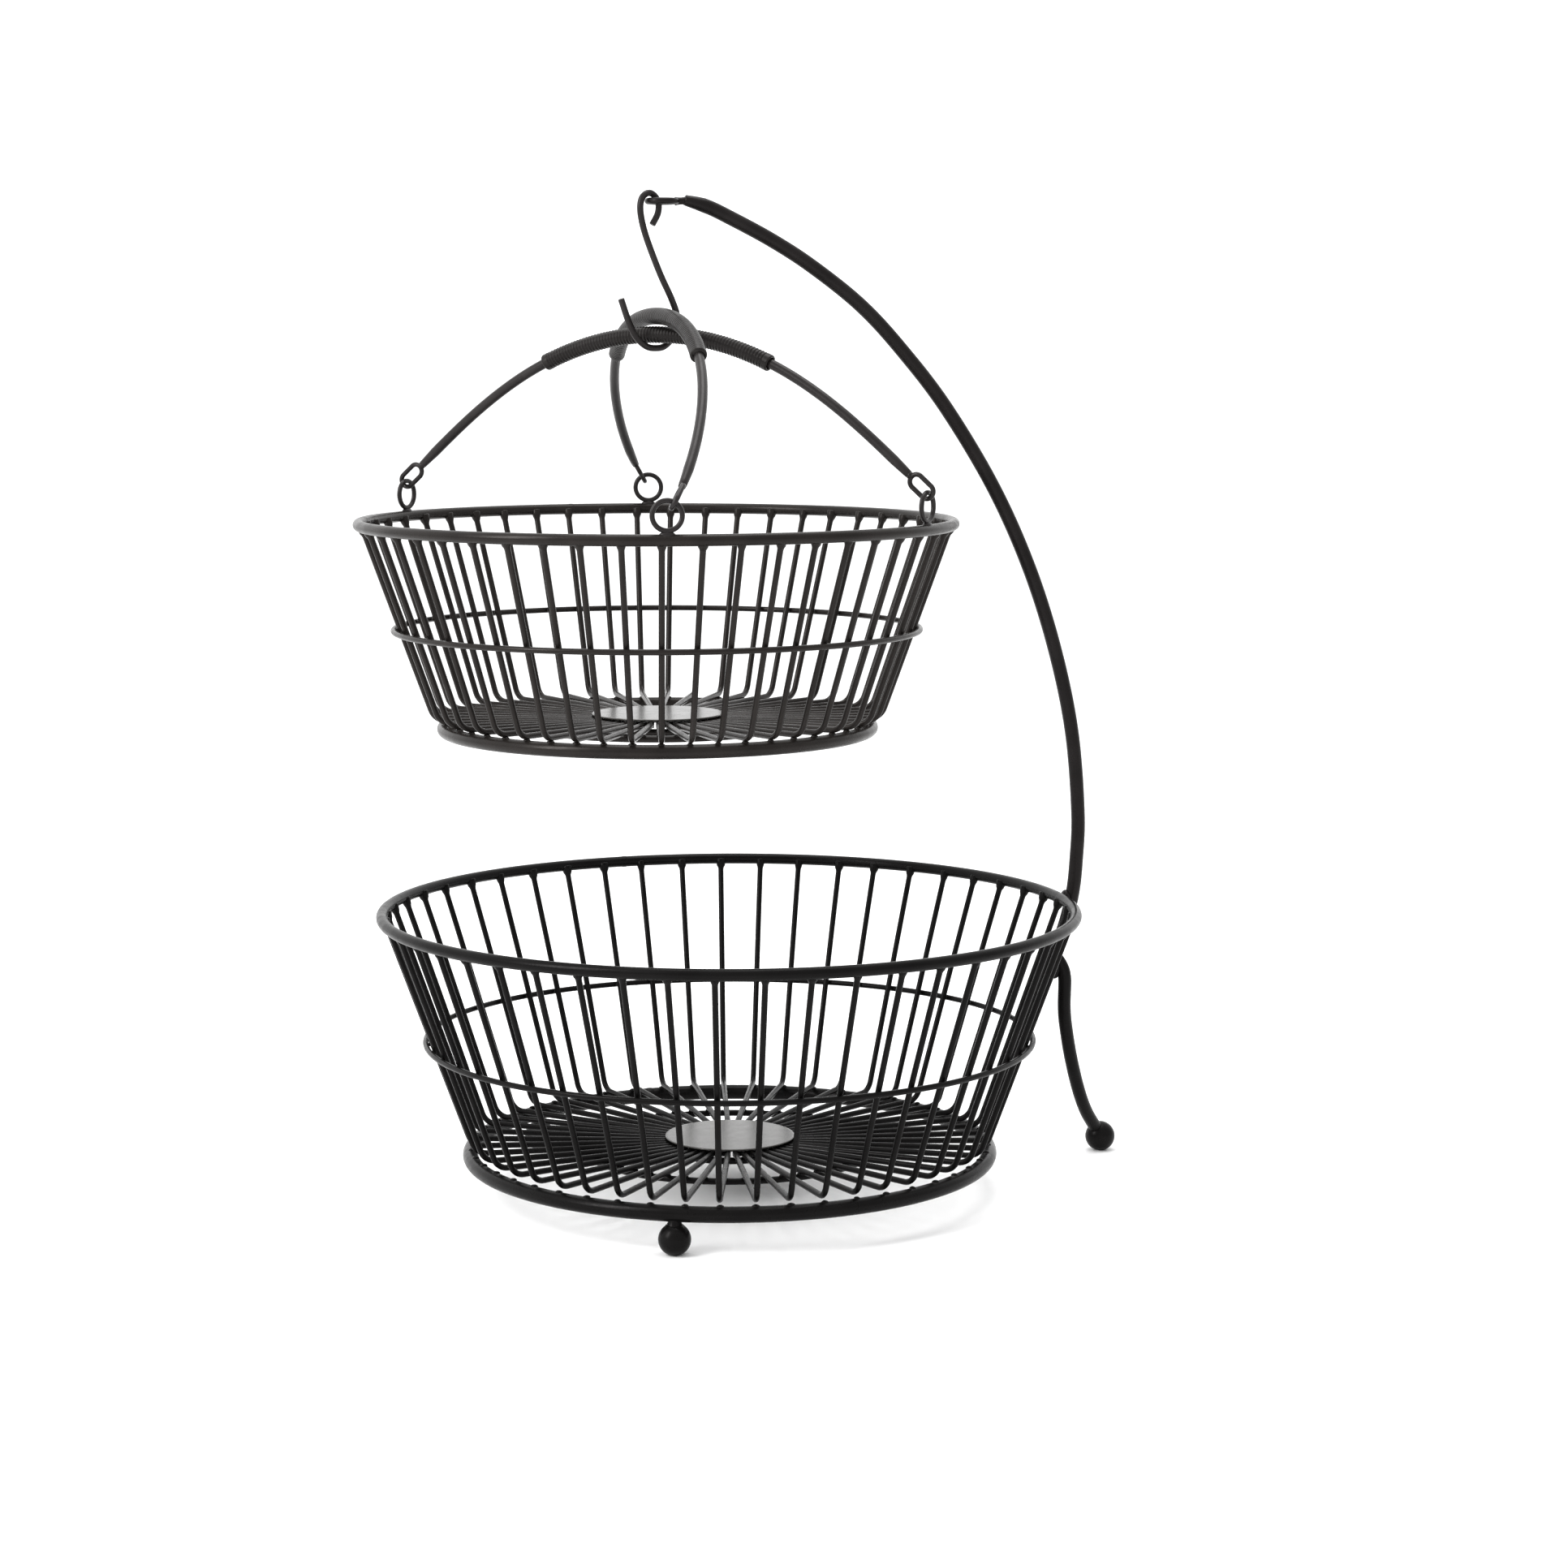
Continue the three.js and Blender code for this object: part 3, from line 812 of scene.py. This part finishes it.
# ---------------------------------------------------------------- studio

def build_floor():
    """Wide flat pale floor."""
    bm = bmesh.new()
    sides = 96
    centre = bm.verts.new((0, 0, 0))
    rings = [[bm.verts.new(polar(0, r, 360 * k / sides, 0)) for k in range(sides)] for r in FLOOR_RINGS]
    fan(bm, [centre], rings[0])
    for a, b in zip(rings, rings[1:]):
        bridge(bm, a, b)
    mesh = bpy.data.meshes.new("floor")
    bm.to_mesh(mesh)
    bm.free()
    mesh.materials.append(floor_material())
    floor = bpy.data.objects.new("floor", mesh)
    bpy.context.scene.collection.objects.link(floor)


def add_softbox(name, place, target, size, power):
    """Rectangular area light of the given size in metres and power in watts, aimed at target."""
    data = bpy.data.lights.new(name, "AREA")
    data.shape = "RECTANGLE"
    data.size, data.size_y = size
    data.energy = power
    light = bpy.data.objects.new(name, data)
    light.location = place
    light.rotation_mode = "QUATERNION"
    light.rotation_quaternion = (target - light.location).to_track_quat("-Z", "Y")
    bpy.context.scene.collection.objects.link(light)


def white_surround():
    """White surround, brightest behind, above and to the left."""
    world = bpy.data.worlds.new("white_surround")
    world.use_nodes = True
    nodes, links = world.node_tree.nodes, world.node_tree.links
    place = nodes.new("ShaderNodeTexCoord")
    facing = nodes.new("ShaderNodeVectorMath")
    facing.operation = "DOT_PRODUCT"
    facing.inputs[1].default_value = Vector(BRIGHT_SIDE).normalized()
    links.new(place.outputs["Generated"], facing.inputs[0])
    strength = nodes.new("ShaderNodeMapRange")
    strength.interpolation_type = "SMOOTHSTEP"
    strength.inputs["From Min"].default_value = -0.25
    strength.inputs["From Max"].default_value = 0.5
    strength.inputs["To Min"].default_value = SURROUND_DIM
    strength.inputs["To Max"].default_value = SURROUND_BRIGHT
    links.new(facing.outputs["Value"], strength.inputs["Value"])
    links.new(strength.outputs["Result"], nodes["Background"].inputs["Strength"])
    nodes["Background"].inputs["Color"].default_value = (1, 1, 1, 1)
    bpy.context.scene.world = world


def light_studio():
    """White surround with soft boxes at the upper left and overhead."""
    white_surround()
    middle = Vector(STUDIO_MIDDLE)
    add_softbox("key_left", Vector((-1.3, -0.5, 1.0)), middle, (0.35, 1.0), 18)
    add_softbox("top", Vector((0.1, 0.2, 1.6)), middle, (0.8, 0.8), 9)
    bpy.context.scene.view_settings.view_transform = "Standard"


def build_camera(axis_x):
    """Camera at the viewing angle: in front of the baskets, the arm rising on the right."""
    data = bpy.data.cameras.new("camera")
    data.sensor_width = SENSOR
    data.lens = CAMERA_LENS
    camera = bpy.data.objects.new("camera", data)
    side = math.radians(CAMERA_SIDE_DEG)
    camera.location = (
        axis_x - CAMERA_DISTANCE * math.sin(side),
        -CAMERA_DISTANCE * math.cos(side),
        CAMERA_HEIGHT,
    )
    heading = math.radians(-CAMERA_SIDE_DEG - CAMERA_TURN_DEG)
    camera.rotation_euler = (math.radians(90 - CAMERA_DOWN_DEG), 0, heading)
    bpy.context.scene.collection.objects.link(camera)
    bpy.context.scene.camera = camera


def main():
    """Builds every piece, the studio and the camera."""
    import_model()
    rng = random.Random(11)
    coats = {name: powder_coat(name) for name in COATS}

    lower = build_basket("lower", coats["lower"], coats["disc"], rng)
    upper = build_basket("upper", coats["upper"], coats["disc"], rng)
    ring_under = lower["foot_z"] - lower["foot_wire"] * 0.4
    for node in ("front_ball_foot", "back_ball_foot"):
        low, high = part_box(node)
        build_ball(node, coats["lower"], Vector(((low.x + high.x) / 2, (low.y + high.y) / 2, ring_under)))
    build_ball("leg_ball_foot", coats["lower"])
    build_leg(lower["x"], coats["lower"])
    build_arm(lower["x"], coats["arm"])
    build_arm_loop(lower["x"], coats["arm"])
    build_hook(upper["x"], coats["bail"])
    for label in ("wide", "narrow"):
        build_bail(upper, label, coats["bail"], coats["grip"])

    build_floor()
    light_studio()
    build_camera(lower["x"])


main()
